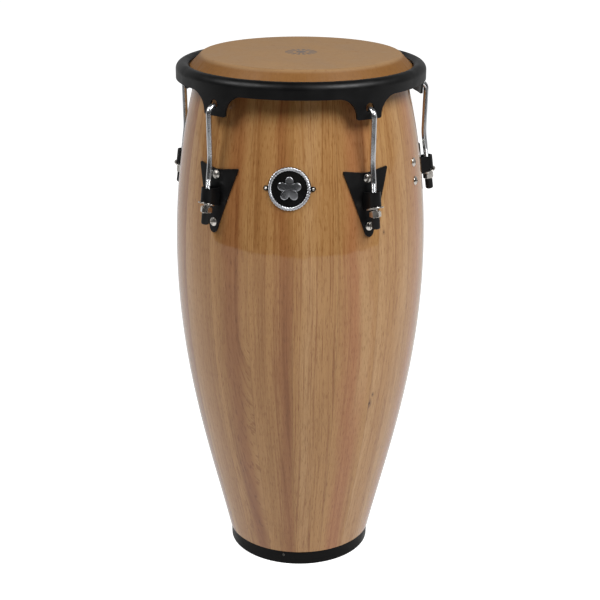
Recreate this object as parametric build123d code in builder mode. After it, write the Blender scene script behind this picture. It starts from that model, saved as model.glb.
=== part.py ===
"""Conga drum: a barrel shell of glued staves, a hide head on a flesh hoop, a rolled rim and five tuning lugs.

Millimetres. +Z is up, Z = 0 is the floor under the foot ring, and the origin is on the drum's axis.
An azimuth is in degrees round the axis, from the front (-Y, where the badge is) towards +X.
"""

import os
from math import acos, asin, atan, atan2, comb, cos, degrees, hypot, radians, sin, tan

from build123d import *

# Whole drum
HEIGHT = 711.0  # floor to playing surface
LUG_AZIMUTHS = (36.0, 108.0, 180.0, 252.0, 324.0)

# Shell: radii of the outside, and the slope of its outline (radius over height) at both ends
FOOT_R = 97.9
FOOT_SLOPE = 0.216
BELLY_R = 169.9
BELLY_Z = 440.0
TOP_R = 132.4
TOP_SLOPE = -0.300
WALL = 12.0
BEARING_R = 4.0  # rounding of the edge that the head lies on
BEARING_BEVEL = 6.0  # depth of the bevel inside that edge
STAVES = 18
FIRST_JOINT = 1.6  # azimuth of a joint between two staves
DRILL_START = 1.0  # holes are cut from this far outside the wood

# Foot ring and its tacks
FOOT_BASE = 5.0
FOOT_RING_TOP = 20.5
FOOT_RING_LIP = 3.2  # thickness of the ring's wall
FOOT_RING_UPPER_R = 99.8
FOOT_RING_LOWER_R = 99.2
FOOT_RING_EDGE = 1.2  # rounding of its outer corners
TACK_Z = 14.0
TACK_AZIMUTHS = (-7.7, 112.3, 232.3)
TACK_HEAD_R = 2.0
TACK_HEAD = 1.1
TACK_R = 0.9
TACK_LENGTH = 10.0

# Head and flesh hoop
SKIN = 2.0
HOOP_REACH = 23.3  # hoop's centre line beyond the shell's top radius
HOOP_DROP = 19.9  # hoop's centre line below the playing surface
HOOP_R = 4.0
TUCK_ANGLE = 150.0  # where the hide's wrap round the hoop ends

# Rim
RIM_SHEET = 3.0
SKIRT_DROP = 31.5  # skirt's lower edge below the playing surface
LIP_GAP = 1.3  # between the rim's inner lip and the collar of the head
TAB_DEPTH = 27.5
TAB_WIDTH = 36.0
TAB_ROOT_R = 24.0
TAB_CORNER_R = 3.0
TAB_HOLE_PLAY = 2.3  # hole radius beyond the rod's
TAB_HOLE_UP = 14.7  # hole centre above the tab's lower edge

# Tuning rods, measured along the rod's threaded run from the middle of the lug, downwards
ROD_R = 3.57
ROD_LEAN = 8.0  # degrees
ROD_STANDOFF = 15.8  # rod axis off the shell at the middle of the lug
ROD_END = 33.5
ROD_BEND_ABOVE = 44.0  # the gentle bend above the middle of the lug
ROD_BEND_R = 100.0
HOOK_R = 9.0
HOOK_LEG = 11.0  # behind the rim's skirt
ROD_TIP = 0.7
CAP_R = 5.3
CAP_END = 36.8
CAP_ROUND = 2.6

# Lugs
LUG_DROP = 159.0  # middle of the lug below the playing surface
PLATE = 2.2
PLATE_HALF_WIDTH = 33.5
PLATE_ABOVE = 36.0  # top corners above the middle of the lug
PLATE_NOTCH = 5.0  # how far the top edge dips between its corners
PLATE_POINT_BELOW = 63.0  # where the sides would meet
PLATE_TIP_R = 6.0
PLATE_CORNER_R = 1.8
PLATE_NOTCH_R = 40.0
LOOP_PLAY = 2.7  # rod to the inside of the loop
LOOP_SHEET = 2.0
LOOP_TOP = 10.5
LOOP_BOTTOM = 9.5
WASHER_LEAN = 12.0  # degrees from square to the rod
WASHER_R = 11.0
WASHER = 1.8
WASHER_PLAY = 0.8
NUT_ACROSS_FLATS = 13.0
NUT = 7.0
COLLAR_R = 6.3
COLLAR = 1.6
NUT_CHAMFER = 0.8
LUG_BOLT_UP = 24.4
LUG_BOLT_DOWN = 36.4

# Bolts through the shell, and the two beside the lug at azimuth 108
BOLT_R = 3.0
BOLT_HOLE_PLAY = 0.3
BOLT_HEAD_R = 5.6
BOLT_HEAD = 3.2
BOLT_HEAD_EDGE = 0.7
SLOT_WIDTH = 1.4
SLOT_LENGTH = 6.4
SLOT_DEPTH = 1.7
INNER_WASHER_R = 8.0
INNER_WASHER = 1.2
INNER_NUT_ACROSS_FLATS = 10.0
INNER_NUT = 5.0
BOLT_PAST_NUT = 2.0
SEAT_DEPTH = 0.5  # flat seat cut into the inside of the wall for each washer
SIDE_BOLT_AZIMUTH = 71.6
SIDE_BOLT_DROPS = (132.2, 156.8)
SIDE_BOLT_HEAD_R = 5.9

# Badge
BADGE_DROP = 143.0
BADGE_R = 27.0
BADGE = 1.2
BADGE_BORDER = 4.6
BADGE_BORDER_RISE = 0.8
BADGE_EAR_OUT = 29.6
BADGE_EAR_R = 3.2
NAIL_R = 0.8
NAIL_HEAD_R = 1.7
NAIL_HEAD = 1.0
NAIL_LENGTH = 9.0

# Clearances
FIT = 0.05  # rubber on wood, thread in thread, rod in its cap
RUNNING = 0.3  # between pieces that move past each other
HOOP_FIT = 0.15  # hide round the hoop

# Worked out
TOP_LEAN = atan(-TOP_SLOPE)
SHELL_TOP = HEIGHT - SKIN - BEARING_R * (1 - sin(TOP_LEAN))
BEARING = (TOP_R - BEARING_R * cos(TOP_LEAN), SHELL_TOP - BEARING_R * sin(TOP_LEAN))
HOOP = (TOP_R + HOOP_REACH, HEIGHT - HOOP_DROP)
WRAP_IN = HOOP_R + HOOP_FIT
WRAP_OUT = WRAP_IN + SKIN
ROLL_IN = WRAP_OUT + RUNNING
ROLL_OUT = ROLL_IN + RIM_SHEET
RIM_R = HOOP[0] + ROLL_OUT
SKIRT_Z = HEIGHT - SKIRT_DROP
TAB_Z = SKIRT_Z - TAB_DEPTH
TAB_HOLE_R = ROD_R + TAB_HOLE_PLAY
TAB_HOLE_Z = TAB_Z + TAB_HOLE_UP
HOOK_Z = TAB_HOLE_Z - TAB_HOLE_PLAY + FIT  # the hook pulls on the lower side of its hole
LUG_Z = HEIGHT - LUG_DROP
BADGE_Z = HEIGHT - BADGE_DROP
LEAN = radians(ROD_LEAN)
LOOP_IN = ROD_R + LOOP_PLAY
LOOP_OUT = LOOP_IN + LOOP_SHEET
WASHER_BACK = LOOP_BOTTOM + WASHER / cos(radians(WASHER_LEAN))
NUT_TOP = WASHER_BACK + COLLAR_R * tan(radians(WASHER_LEAN)) + RUNNING
NUT_BOTTOM = NUT_TOP + COLLAR + NUT
CAP_TOP = NUT_BOTTOM + RUNNING
STAVE_ARC = 360 / STAVES
BAND_ARC = 40.0  # wide enough for a lug plate, a tab or the badge


def swell(z):
    """How the outline bows, and its rate: radius = BELLY_R + bow * (z - BELLY_Z)**2, so it is level at the belly.

    The bow is the cubic in z that gives the set radius and slope at the foot and at the top.
    """
    ends = []
    for end_z, end_r, slope in ((FOOT_BASE, FOOT_R, FOOT_SLOPE), (SHELL_TOP, TOP_R, TOP_SLOPE)):
        arm = end_z - BELLY_Z
        ends.append(((end_r - BELLY_R) / arm**2, (slope - 2 * (end_r - BELLY_R) / arm) / arm**2))
    (low, low_rate), (high, high_rate) = ends
    span = SHELL_TOP - FOOT_BASE
    t = (z - FOOT_BASE) / span
    bow = (2 * t**3 - 3 * t**2 + 1) * low + (t**3 - 2 * t**2 + t) * span * low_rate
    bow += (3 * t**2 - 2 * t**3) * high + (t**3 - t**2) * span * high_rate
    rate = 6 * (t**2 - t) * (low - high) / span
    rate += (3 * t**2 - 4 * t + 1) * low_rate + (3 * t**2 - 2 * t) * high_rate
    return bow, rate


def shell_radius(z):
    """Outer radius at height z."""
    return BELLY_R + swell(z)[0] * (z - BELLY_Z) ** 2


def shell_slope(z):
    return shell_radius(z + 0.5) - shell_radius(z - 0.5)


def outline(inset, bottom=FOOT_BASE, top=SHELL_TOP):
    """Control points of the shell's outline from bottom to top, moved towards the axis by the inset.

    The outline is a polynomial of degree 5 in z, the product of a square and a cubic, so one curve of six
    control points is the whole of it, or exactly a part of it.
    """
    below, above, span = bottom - BELLY_Z, top - BELLY_Z, top - bottom
    square = (below**2, below * above, above**2)
    (low, low_rate), (high, high_rate) = swell(bottom), swell(top)
    cubic = (low, low + span * low_rate / 3, high - span * high_rate / 3, high)
    points = []
    for k in range(6):
        terms = [comb(2, i) * comb(3, k - i) * square[i] * cubic[k - i] for i in range(3) if 0 <= k - i <= 3]
        points.append((BELLY_R + sum(terms) / comb(5, k) - inset, bottom + span * k / 5))
    return points


def radial_plane(azimuth):
    """The upright plane through the drum's axis: x is the distance from the axis and y the height."""
    a = radians(azimuth)
    return Plane(origin=(0, 0, 0), x_dir=(sin(a), -cos(a), 0), z_dir=(-cos(a), -sin(a), 0))


def surface_plane(azimuth, z, proud=0.0):
    """The plane that touches the shell at a point, moved outwards; its normal points out of the wood."""
    a = radians(azimuth)
    lean = atan(shell_slope(z))
    out = Vector(cos(lean) * sin(a), -cos(lean) * cos(a), -sin(lean))
    point = Vector(shell_radius(z) * sin(a), -shell_radius(z) * cos(a), z)
    return Plane(origin=point + out * proud, x_dir=(cos(a), sin(a), 0), z_dir=out)


def upright_plane(azimuth, z, radius):
    """Plane that stands upright, square to the radius at this azimuth and height; its normal points outwards."""
    a = radians(azimuth)
    return Plane(origin=(radius * sin(a), -radius * cos(a), z), x_dir=(cos(a), sin(a), 0), z_dir=(sin(a), -cos(a), 0))


def rod_plane(along, turn=0.0):
    """Square to the front rod's threaded run, facing up it; turn tips the plane's outer side up, in degrees."""
    x_out = shell_radius(LUG_Z) + ROD_STANDOFF + along * sin(LEAN)
    tip = LEAN + radians(turn)
    return Plane(
        origin=(0, -x_out, LUG_Z - along * cos(LEAN)),
        x_dir=(0, -cos(tip), sin(tip)),
        z_dir=(0, sin(tip), cos(tip)),
    )


def finish(piece, name):
    piece.label = name
    export_step(piece, f"parts/{name}.step")


def finish_at_lugs(piece, name):
    """Five copies of a piece made at the front, one turned to each lug."""
    for number, azimuth in enumerate(LUG_AZIMUTHS, 1):
        finish(Rot(0, 0, azimuth) * piece, f"{name}_{number}")


os.makedirs("parts", exist_ok=True)

# Every hole in the wall: azimuth, height, radius, depth, and whether a washer seats inside
LUG_BOLTS = [(a, LUG_Z + up) for a in LUG_AZIMUTHS for up in (LUG_BOLT_UP, -LUG_BOLT_DOWN)]
SIDE_BOLTS = [(SIDE_BOLT_AZIMUTH, HEIGHT - drop) for drop in SIDE_BOLT_DROPS]
EAR_AZIMUTH = degrees(asin(BADGE_EAR_OUT / shell_radius(BADGE_Z)))
NAILS = [(EAR_AZIMUTH, BADGE_Z), (-EAR_AZIMUTH, BADGE_Z)]
TACKS = [(a, TACK_Z) for a in TACK_AZIMUTHS]
BOLT_HOLE_R = BOLT_R + BOLT_HOLE_PLAY
SHELL_HOLES = [(a, z, BOLT_HOLE_R, 2 * WALL, True) for a, z in LUG_BOLTS + SIDE_BOLTS]
SHELL_HOLES += [(a, z, NAIL_R, NAIL_LENGTH - BADGE, False) for a, z in NAILS]
REBATE_R = FOOT_RING_UPPER_R - FOOT_RING_LIP  # the wood is cut back to here, behind the foot ring


def seat_depth(z):
    """How far behind the outside of the wall the inner washer's seat lies."""
    return WALL * cos(atan(shell_slope(z))) - SEAT_DEPTH


# Staves: one blank, turned into place and drilled where fixings go through
with BuildPart() as blank:
    with BuildSketch(radial_plane(0)):
        with BuildLine():
            outside = Bezier(*outline(0, bottom=FOOT_RING_TOP))
            edge = JernArc(outside @ 1, (TOP_SLOPE, 1), BEARING_R, 90 - degrees(TOP_LEAN))
            inside = Bezier(*outline(WALL, top=SHELL_TOP - BEARING_BEVEL))
            Line(edge @ 1, inside @ 1)
            Polyline(inside @ 0, (REBATE_R, FOOT_BASE), (REBATE_R, FOOT_RING_TOP), outside @ 0)
        make_face()
    revolve(axis=Axis.Z, revolution_arc=STAVE_ARC)

for number in range(STAVES):
    start = FIRST_JOINT + STAVE_ARC * number
    with BuildPart() as stave:
        add(blank.part, rotation=(0, 0, start))
        for azimuth, z, radius, depth, seated in SHELL_HOLES:
            reach = degrees((INNER_WASHER_R + 1) / shell_radius(z)) + STAVE_ARC / 2
            if abs((azimuth - start - STAVE_ARC / 2 + 180) % 360 - 180) > reach:
                continue
            with BuildSketch(surface_plane(azimuth, z, DRILL_START)):
                Circle(radius)
            extrude(amount=-depth - DRILL_START, mode=Mode.SUBTRACT)
            if seated:
                with BuildSketch(surface_plane(azimuth, z, -seat_depth(z))):
                    Circle(INNER_WASHER_R + RUNNING)
                extrude(amount=-WALL / 2, mode=Mode.SUBTRACT)
        for azimuth, z in TACKS:
            if 0 <= (azimuth - start) % 360 <= STAVE_ARC:
                with BuildSketch(upright_plane(azimuth, z, FOOT_RING_UPPER_R)):
                    Circle(TACK_R)
                extrude(amount=-TACK_LENGTH, mode=Mode.SUBTRACT)
    finish(stave.part, f"stave_{number + 1:02d}")

# Foot ring: a rubber ring of L section, under the wood and in the rebate round its outside
with BuildPart() as foot_ring:
    with BuildSketch(radial_plane(0)) as section:
        with BuildLine():
            Polyline(
                (REBATE_R + FIT, FOOT_BASE),
                (REBATE_R + FIT, FOOT_RING_TOP - FIT),
                (FOOT_RING_UPPER_R, FOOT_RING_TOP - FIT),
                (FOOT_RING_LOWER_R, 0),
                (FOOT_R - WALL, 0),
                (FOOT_R - WALL, FOOT_BASE),
                close=True,
            )
        make_face()
        fillet(section.vertices().group_by(Axis.X)[-1], FOOT_RING_EDGE / 2)
        fillet(section.vertices().group_by(Axis.Y)[0], FOOT_RING_EDGE)
    revolve(axis=Axis.Z)
    for azimuth, z in TACKS:
        with BuildSketch(upright_plane(azimuth, z, FOOT_RING_UPPER_R)):
            Circle(TACK_R)
        extrude(amount=-2 * FOOT_RING_LIP, mode=Mode.SUBTRACT)
finish(foot_ring.part, "foot_ring")


def nail(head_r, head, shank_r, length):
    """A round-headed nail along Z, its head's underside at the origin."""
    with BuildPart() as made:
        with BuildSketch(Plane.XZ):
            with BuildLine():
                dome = TangentArc((0, head), (head_r, 0), tangent=(1, 0))
                Polyline(dome @ 1, (shank_r, 0), (shank_r, -length + shank_r), (0, -length), dome @ 0)
            make_face()
        revolve(axis=Axis.Z)
    return made.part


tack_blank = nail(TACK_HEAD_R, TACK_HEAD, TACK_R, TACK_LENGTH)
with BuildPart() as foot_tacks:
    with Locations(*[upright_plane(a, z, FOOT_RING_UPPER_R).location for a, z in TACKS]):
        add(tack_blank)
finish(foot_tacks.part, "foot_tacks")


def shell_band(lift, thickness):
    """A band of the shell's own curve at the front, lifted off the wood and this thick."""
    with BuildPart() as band:
        with BuildSketch(radial_plane(-BAND_ARC / 2)):
            with BuildLine():
                back = Bezier(*outline(-lift))
                front = Bezier(*outline(-lift - thickness))
                Line(back @ 0, front @ 0)
                Line(back @ 1, front @ 1)
            make_face()
        revolve(axis=Axis.Z, revolution_arc=BAND_ARC)
    return band.part


# Badge: a pressed plate that follows the shell, with a raised border and an ear at each side
with BuildPart() as badge:
    add(shell_band(0, BADGE))
    with BuildSketch(Plane.XZ):
        with Locations((0, BADGE_Z)):
            Circle(BADGE_R)
            SlotCenterToCenter(2 * BADGE_EAR_OUT, 2 * BADGE_EAR_R)
    extrude(amount=2 * BELLY_R, mode=Mode.INTERSECT)
    for azimuth, z in NAILS:
        with BuildSketch(surface_plane(azimuth, z, 2 * BADGE)):
            Circle(NAIL_R)
        extrude(amount=-3 * BADGE, mode=Mode.SUBTRACT)
with BuildPart() as border:
    add(shell_band(BADGE, BADGE_BORDER_RISE))
    with BuildSketch(Plane.XZ):
        with Locations((0, BADGE_Z)):
            Circle(BADGE_R)
            Circle(BADGE_R - BADGE_BORDER, mode=Mode.SUBTRACT)
    extrude(amount=2 * BELLY_R, mode=Mode.INTERSECT)
finish(badge.part + border.part, "badge_plate")

nail_blank = nail(NAIL_HEAD_R, NAIL_HEAD, NAIL_R, NAIL_LENGTH)
with BuildPart() as badge_nails:
    with Locations(*[surface_plane(a, z, BADGE + FIT).location for a, z in NAILS]):
        add(nail_blank)
finish(badge_nails.part, "badge_nails")


# Head: flat hide over the bearing edge, down a sloping collar and wrapped round the flesh hoop
COLLAR_RUN = (HOOP[0] - BEARING[0], BEARING[1] - HOOP[1])
COLLAR_FALL = atan2(COLLAR_RUN[1], COLLAR_RUN[0]) + asin(
    (BEARING_R + SKIN + WRAP_IN) / hypot(*COLLAR_RUN)
)
FALL_DEGREES = degrees(COLLAR_FALL)


def from_bearing(radius):
    return (BEARING[0] + radius * sin(COLLAR_FALL), BEARING[1] + radius * cos(COLLAR_FALL))


def from_hoop(radius):
    return (HOOP[0] - radius * sin(COLLAR_FALL), HOOP[1] - radius * cos(COLLAR_FALL))


WRAP_START = 270 - FALL_DEGREES
WRAP_ARC = 360 + TUCK_ANGLE - WRAP_START
with BuildPart() as drumhead_skin:
    with BuildSketch(radial_plane(0)):
        with BuildLine():
            for bend, wrap in ((BEARING_R + SKIN, WRAP_IN), (BEARING_R, WRAP_OUT)):
                Line((0, BEARING[1] + bend), (BEARING[0], BEARING[1] + bend))
                CenterArc(BEARING, bend, 90, -FALL_DEGREES)
                Line(from_bearing(bend), from_hoop(wrap))
                CenterArc(HOOP, wrap, WRAP_START, WRAP_ARC)
            Line((0, HEIGHT), (0, HEIGHT - SKIN))
            tuck = (cos(radians(TUCK_ANGLE)), sin(radians(TUCK_ANGLE)))
            Line(*[(HOOP[0] + r * tuck[0], HOOP[1] + r * tuck[1]) for r in (WRAP_IN, WRAP_OUT)])
        make_face()
    revolve(axis=Axis.Z)
finish(drumhead_skin.part, "drumhead_skin")

with BuildPart() as flesh_hoop:
    with BuildSketch(radial_plane(0)):
        with Locations(HOOP):
            Circle(HOOP_R)
    revolve(axis=Axis.Z)
finish(flesh_hoop.part, "flesh_hoop")

# Rim: a skirt with a rolled top that bears on the wrapped hoop, and a tab over each lug
LIP_ANGLE = 90 - FALL_DEGREES + degrees(acos(-(WRAP_IN - LIP_GAP) / ROLL_OUT))
with BuildPart() as tab:
    with BuildSketch(radial_plane(-BAND_ARC / 2)):
        with Locations((RIM_R - RIM_SHEET / 2, SKIRT_Z + RIM_SHEET)):
            Rectangle(RIM_SHEET, 2 * (TAB_DEPTH + RIM_SHEET))
    revolve(axis=Axis.Z, revolution_arc=BAND_ARC)
    with BuildSketch(Plane.XZ):
        half = TAB_WIDTH / 2
        root = half + TAB_ROOT_R + TAB_CORNER_R
        with BuildLine():
            sides = FilletPolyline(
                (-root, SKIRT_Z),
                (-half, SKIRT_Z),
                (-half, TAB_Z),
                (half, TAB_Z),
                (half, SKIRT_Z),
                (root, SKIRT_Z),
                radius=(TAB_ROOT_R, TAB_CORNER_R, TAB_CORNER_R, TAB_ROOT_R),
            )
            Polyline(sides @ 0, (-root, SKIRT_Z + RIM_SHEET), (root, SKIRT_Z + RIM_SHEET), sides @ 1)
        make_face()
        with Locations((0, TAB_HOLE_Z)):
            Circle(TAB_HOLE_R, mode=Mode.SUBTRACT)
    extrude(amount=2 * RIM_R, mode=Mode.INTERSECT)

with BuildPart() as rim:
    with BuildSketch(radial_plane(0)) as section:
        with BuildLine():
            over = CenterArc(HOOP, ROLL_OUT, 0, LIP_ANGLE)
            under = CenterArc(HOOP, ROLL_IN, 0, LIP_ANGLE)
            Line(over @ 1, under @ 1)
            Polyline(over @ 0, (RIM_R, SKIRT_Z), (RIM_R - RIM_SHEET, SKIRT_Z), under @ 0)
        make_face()
        fillet(section.vertices().sort_by(Axis.X)[:2], RIM_SHEET / 2 - 0.1)
    revolve(axis=Axis.Z)
    with Locations(*[Location((0, 0, 0), (0, 0, a)) for a in LUG_AZIMUTHS]):
        add(tab.part)
finish(rim.part, "rim")

# Lug plate: a pressed plate on the shell with a loop that stands out and holds the rod
PLATE_TOP = LUG_Z + PLATE_ABOVE
with BuildPart() as plate:
    add(shell_band(0, PLATE))
    with BuildSketch(Plane.XZ):
        with BuildLine():
            FilletPolyline(
                (-PLATE_HALF_WIDTH, PLATE_TOP),
                (0, PLATE_TOP - PLATE_NOTCH),
                (PLATE_HALF_WIDTH, PLATE_TOP),
                (0, LUG_Z - PLATE_POINT_BELOW),
                radius=(PLATE_CORNER_R, PLATE_NOTCH_R, PLATE_CORNER_R, PLATE_TIP_R),
                close=True,
            )
        make_face()
    extrude(amount=2 * BELLY_R, mode=Mode.INTERSECT)
with BuildPart() as loop:
    with BuildSketch(rod_plane(LOOP_BOTTOM + WASHER_R)):
        Circle(LOOP_OUT)
        with Locations((-ROD_STANDOFF / 2, 0)):
            Rectangle(ROD_STANDOFF, 2 * LOOP_OUT)
        Circle(LOOP_IN, mode=Mode.SUBTRACT)
        with Locations((-ROD_STANDOFF / 2, 0)):
            Rectangle(ROD_STANDOFF, 2 * LOOP_IN, mode=Mode.SUBTRACT)
    extrude(amount=LOOP_TOP + LOOP_BOTTOM + WASHER_R)
    split(bisect_by=rod_plane(LOOP_BOTTOM, WASHER_LEAN), keep=Keep.TOP)
    add(shell_band(-WALL, WALL), mode=Mode.SUBTRACT)
with BuildPart() as lug_plate:
    add(plate.part)
    add(loop.part)
    for z in (LUG_Z + LUG_BOLT_UP, LUG_Z - LUG_BOLT_DOWN):
        with BuildSketch(surface_plane(0, z, 2 * PLATE)):
            Circle(BOLT_HOLE_R)
        extrude(amount=-3 * PLATE, mode=Mode.SUBTRACT)
finish_at_lugs(lug_plate.part, "lug_plate")

# Washer: leans with the loop's lower end, with room for the rod to pass at that angle
with BuildPart() as washer:
    with BuildSketch(rod_plane(LOOP_BOTTOM, WASHER_LEAN)):
        Circle(WASHER_R)
        Circle(ROD_R + WASHER_PLAY, mode=Mode.SUBTRACT)
    extrude(amount=-WASHER)
    fillet(washer.edges().filter_by(GeomType.CIRCLE).group_by(SortBy.RADIUS)[-1], 0.4)
finish_at_lugs(washer.part, "tuning_washer")

# Tuning nut: a hexagon with a round collar against the washer
with BuildPart() as nut:
    with BuildSketch(rod_plane(NUT_TOP)):
        Circle(COLLAR_R)
    extrude(amount=-COLLAR)
    with BuildSketch(rod_plane(NUT_TOP + COLLAR)):
        RegularPolygon(NUT_ACROSS_FLATS / 2, 6, major_radius=False)
    extrude(amount=-NUT)
    chamfer(nut.faces().sort_by(Axis.Z)[0].edges(), NUT_CHAMFER)
    with BuildSketch(rod_plane(NUT_TOP - 1)):
        Circle(ROD_R + FIT)
    extrude(amount=-COLLAR - NUT - 2, mode=Mode.SUBTRACT)
finish_at_lugs(nut.part, "tuning_nut")


def rod_at(along):
    """Distance from the drum's axis and height of the threaded run's centre line."""
    return (shell_radius(LUG_Z) + ROD_STANDOFF + along * sin(LEAN), LUG_Z - along * cos(LEAN))


# Tuning hook: a rod whose top turns in through the rim's tab
with BuildPart() as hook:
    with BuildLine(radial_plane(0)) as rod_line:
        FilletPolyline(
            (RIM_R - RIM_SHEET - HOOK_LEG, HOOK_Z),
            (RIM_R + HOOK_R + RUNNING, HOOK_Z),
            rod_at(-ROD_BEND_ABOVE),
            rod_at(ROD_END),
            radius=(HOOK_R, ROD_BEND_R),
        )
    with BuildSketch(Plane(origin=rod_line.line @ 0, z_dir=rod_line.line % 0)):
        Circle(ROD_R)
    sweep(path=rod_line.line)
    chamfer(hook.faces().filter_by(GeomType.PLANE).edges(), ROD_TIP)
finish_at_lugs(hook.part, "tuning_hook")

# Rod cap: a rubber cap pushed on the end of the rod
with BuildPart() as cap:
    with BuildSketch(rod_plane(CAP_TOP)):
        Circle(CAP_R)
    extrude(amount=CAP_TOP - CAP_END)
    fillet(cap.faces().sort_by(Axis.Z)[0].edges(), CAP_ROUND)
    with BuildSketch(rod_plane(CAP_TOP)):
        Circle(ROD_R)
    extrude(amount=CAP_TOP - ROD_END, mode=Mode.SUBTRACT)
finish_at_lugs(cap.part, "rod_cap")


def round_head_bolt(head_r, grip):
    """A cross-recessed bolt along Z, its head's underside at the origin; grip is head to the inner washer."""
    length = grip + INNER_WASHER + INNER_NUT + BOLT_PAST_NUT
    with BuildPart() as made:
        with BuildSketch(Plane.XZ):
            with BuildLine():
                dome = TangentArc((0, BOLT_HEAD), (head_r, BOLT_HEAD_EDGE), tangent=(1, 0))
                Polyline(
                    dome @ 1,
                    (head_r, 0),
                    (BOLT_R, 0),
                    (BOLT_R, -length + ROD_TIP),
                    (BOLT_R - ROD_TIP, -length),
                    (0, -length),
                    dome @ 0,
                )
            make_face()
        revolve(axis=Axis.Z)
        with BuildSketch(Plane.XY.offset(BOLT_HEAD)):
            Rectangle(SLOT_LENGTH, SLOT_WIDTH)
            Rectangle(SLOT_WIDTH, SLOT_LENGTH)
        extrude(amount=-SLOT_DEPTH, mode=Mode.SUBTRACT)
    return made.part


def fix_through_shell(places, sheet, head_r, prefix):
    """Bolts, inner washers and inner nuts at these places, through a sheet this thick and the wall."""
    with BuildPart() as bolts:
        for azimuth, z in places:
            with Locations(surface_plane(azimuth, z, sheet).location):
                add(round_head_bolt(head_r, sheet + seat_depth(z)))
    finish(bolts.part, f"{prefix}_bolts")
    with BuildPart() as washers:
        for azimuth, z in places:
            with BuildSketch(surface_plane(azimuth, z, -seat_depth(z))):
                Circle(INNER_WASHER_R)
                Circle(BOLT_HOLE_R, mode=Mode.SUBTRACT)
            extrude(amount=-INNER_WASHER)
    finish(washers.part, f"{prefix}_bolt_washers")
    with BuildPart() as nuts:
        for azimuth, z in places:
            with BuildSketch(surface_plane(azimuth, z, -seat_depth(z) - INNER_WASHER)):
                RegularPolygon(INNER_NUT_ACROSS_FLATS / 2, 6, major_radius=False)
                Circle(BOLT_R + FIT, mode=Mode.SUBTRACT)
            extrude(amount=-INNER_NUT)
    finish(nuts.part, f"{prefix}_bolt_nuts")


fix_through_shell(LUG_BOLTS, PLATE, BOLT_HEAD_R, "lug")
fix_through_shell(SIDE_BOLTS, 0.0, SIDE_BOLT_HEAD_R, "side")
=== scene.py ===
"""A conga drum's looks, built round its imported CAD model.

Metres. +Z is up, Z = 0 is the floor, and the origin is on the drum's axis. An azimuth goes round the axis
from the front (-Y, where the badge is) towards +X.
"""
from math import cos, pi, radians, sin

import bmesh
import bpy
import numpy as np
from mathutils import Matrix, Vector


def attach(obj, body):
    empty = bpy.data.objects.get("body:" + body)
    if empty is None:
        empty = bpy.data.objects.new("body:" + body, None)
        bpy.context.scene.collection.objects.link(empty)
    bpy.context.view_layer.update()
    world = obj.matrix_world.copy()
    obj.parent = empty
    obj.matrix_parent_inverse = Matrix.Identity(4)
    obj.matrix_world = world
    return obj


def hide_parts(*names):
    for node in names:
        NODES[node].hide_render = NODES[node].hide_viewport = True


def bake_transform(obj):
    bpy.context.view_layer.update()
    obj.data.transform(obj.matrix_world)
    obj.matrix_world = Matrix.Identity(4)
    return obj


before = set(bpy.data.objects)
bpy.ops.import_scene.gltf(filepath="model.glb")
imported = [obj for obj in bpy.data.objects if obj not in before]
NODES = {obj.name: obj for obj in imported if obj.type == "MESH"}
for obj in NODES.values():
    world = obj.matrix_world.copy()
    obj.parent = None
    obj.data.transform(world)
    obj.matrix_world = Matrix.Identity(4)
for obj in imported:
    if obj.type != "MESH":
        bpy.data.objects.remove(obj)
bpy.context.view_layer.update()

FIRST_LUG, LUG_STEP = 36, 72  # degrees
LUGS = {n: radians(FIRST_LUG + LUG_STEP * (n - 1)) for n in range(1, 6)}  # azimuth of each lug
STAVES = 18
STAVE_ARC = 2 * pi / STAVES
FIRST_JOINT = radians(1.6)  # azimuth of the first stave's edge, where its neighbour stave_18 ends
ABOVE_FOOT_RING = 0.021  # height above which the wood isn't cut back behind the foot ring


# ---------------------------------------------------------------- meshes

def outline_of_shell():
    """Heights and outer radii of the shell, read from the long edge of the first stave.

    The edge has an inner and an outer line, and a curve fitted through both runs between them.
    """
    co = np.array([v.co for v in NODES["stave_01"].data.vertices])
    azimuth = np.arctan2(co[:, 0], -co[:, 1])
    edge = co[(np.abs(azimuth - FIRST_JOINT) < 1e-4) & (co[:, 2] > ABOVE_FOOT_RING)]
    z, r = edge[:, 2], np.hypot(edge[:, 0], edge[:, 1])
    outer = r > np.polyval(np.polyfit(z, r, 5), z)
    order = np.argsort(z[outer])
    return z[outer][order], r[outer][order]


SHELL_Z, SHELL_R = outline_of_shell()
SAME_PLACE = 1e-6


def shell_radius(z):
    """Outer radius of the shell at a height."""
    return np.interp(z, SHELL_Z, SHELL_R)


def piece_from_grid(name, points, material, round_rows=False, round_columns=False):
    """A smooth mesh piece from points[row, column], one face to each square; rows or columns can join up.

    Points that fall together, as at a pole, are merged, and the faces of a closed piece point outwards.
    """
    rows, columns = points.shape[:2]
    row, column = np.meshgrid(
        np.arange(rows - (not round_rows)), np.arange(columns - (not round_columns)), indexing="ij"
    )
    row, column = row.ravel(), column.ravel()
    after, beside = (row + 1) % rows, (column + 1) % columns
    this_row, next_row = row * columns, after * columns
    corners = [this_row + column, this_row + beside, next_row + beside, next_row + column]
    mesh = bpy.data.meshes.new(name)
    mesh.from_pydata(points.reshape(-1, 3), [], np.stack(corners, 1))
    faces = bmesh.new()
    faces.from_mesh(mesh)
    bmesh.ops.remove_doubles(faces, verts=faces.verts, dist=SAME_PLACE)
    bmesh.ops.recalc_face_normals(faces, faces=faces.faces)
    faces.to_mesh(mesh)
    faces.free()
    mesh.polygons.foreach_set("use_smooth", np.ones(len(mesh.polygons), bool))
    mesh.materials.append(material)
    piece = bpy.data.objects.new(name, mesh)
    bpy.context.scene.collection.objects.link(piece)
    return piece


def arc(centre, radius, start, end, count):
    """Points (distance, height) on a circle, from one angle to another in degrees."""
    a = np.radians(np.linspace(start, end, count))
    return np.stack([centre[0] + radius * np.cos(a), centre[1] + radius * np.sin(a)], 1)


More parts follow.
